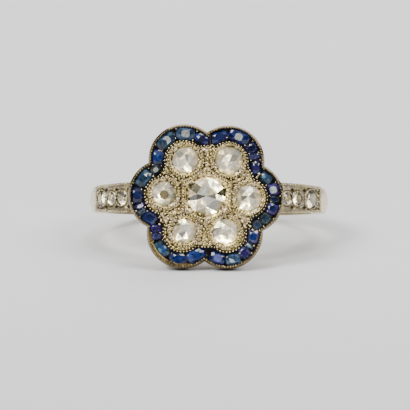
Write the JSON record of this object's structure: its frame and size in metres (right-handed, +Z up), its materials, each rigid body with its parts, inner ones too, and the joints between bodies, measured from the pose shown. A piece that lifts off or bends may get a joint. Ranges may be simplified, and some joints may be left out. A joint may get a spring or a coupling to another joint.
{
  "type": "flower cluster ring",
  "caption": "Gold ring with a six-lobed flower head of rose cut diamonds edged by a channel of sapphires, diamond-set shoulders and a plain shank.",
  "frame": {"origin": "centre of the finger hole, midway across the shank", "axes": "+Z up as the ring lies on its side, the flower head towards -Y and looking up by the tilt that its lower petals and the back of the shank give it, +X to the right when facing the head"},
  "size_m": [0.0204, 0.0234, 0.0117],
  "materials": {
    "gold": "polished pale yellow gold, tarnished brown in the hollows",
    "diamond": "cut and polished",
    "sapphire": "cut and polished"
  },
  "bodies": {
    "root": {"gold_mounting": "gold", "centre_diamond": "diamond", "petal_diamond_1": "diamond", "petal_diamond_2": "diamond", "petal_diamond_3": "diamond", "petal_diamond_4": "diamond", "petal_diamond_5": "diamond", "petal_diamond_6": "diamond", "shoulder_diamond_1": "diamond", "shoulder_diamond_2": "diamond", "shoulder_diamond_3": "diamond", "shoulder_diamond_4": "diamond", "shoulder_diamond_5": "diamond", "shoulder_diamond_6": "diamond", "sapphire_01": "sapphire", "sapphire_02": "sapphire", "sapphire_03": "sapphire", "sapphire_04": "sapphire", "sapphire_05": "sapphire", "sapphire_06": "sapphire", "sapphire_07": "sapphire", "sapphire_08": "sapphire", "sapphire_09": "sapphire", "sapphire_10": "sapphire", "sapphire_11": "sapphire", "sapphire_12": "sapphire", "sapphire_13": "sapphire", "sapphire_14": "sapphire", "sapphire_15": "sapphire", "sapphire_16": "sapphire", "sapphire_17": "sapphire", "sapphire_18": "sapphire", "sapphire_19": "sapphire", "sapphire_20": "sapphire", "sapphire_21": "sapphire", "sapphire_22": "sapphire", "sapphire_23": "sapphire", "sapphire_24": "sapphire", "sapphire_25": "sapphire", "sapphire_26": "sapphire", "sapphire_27": "sapphire", "sapphire_28": "sapphire", "sapphire_29": "sapphire", "sapphire_30": "sapphire", "sapphire_31": "sapphire"}
  },
  "joints": []
}
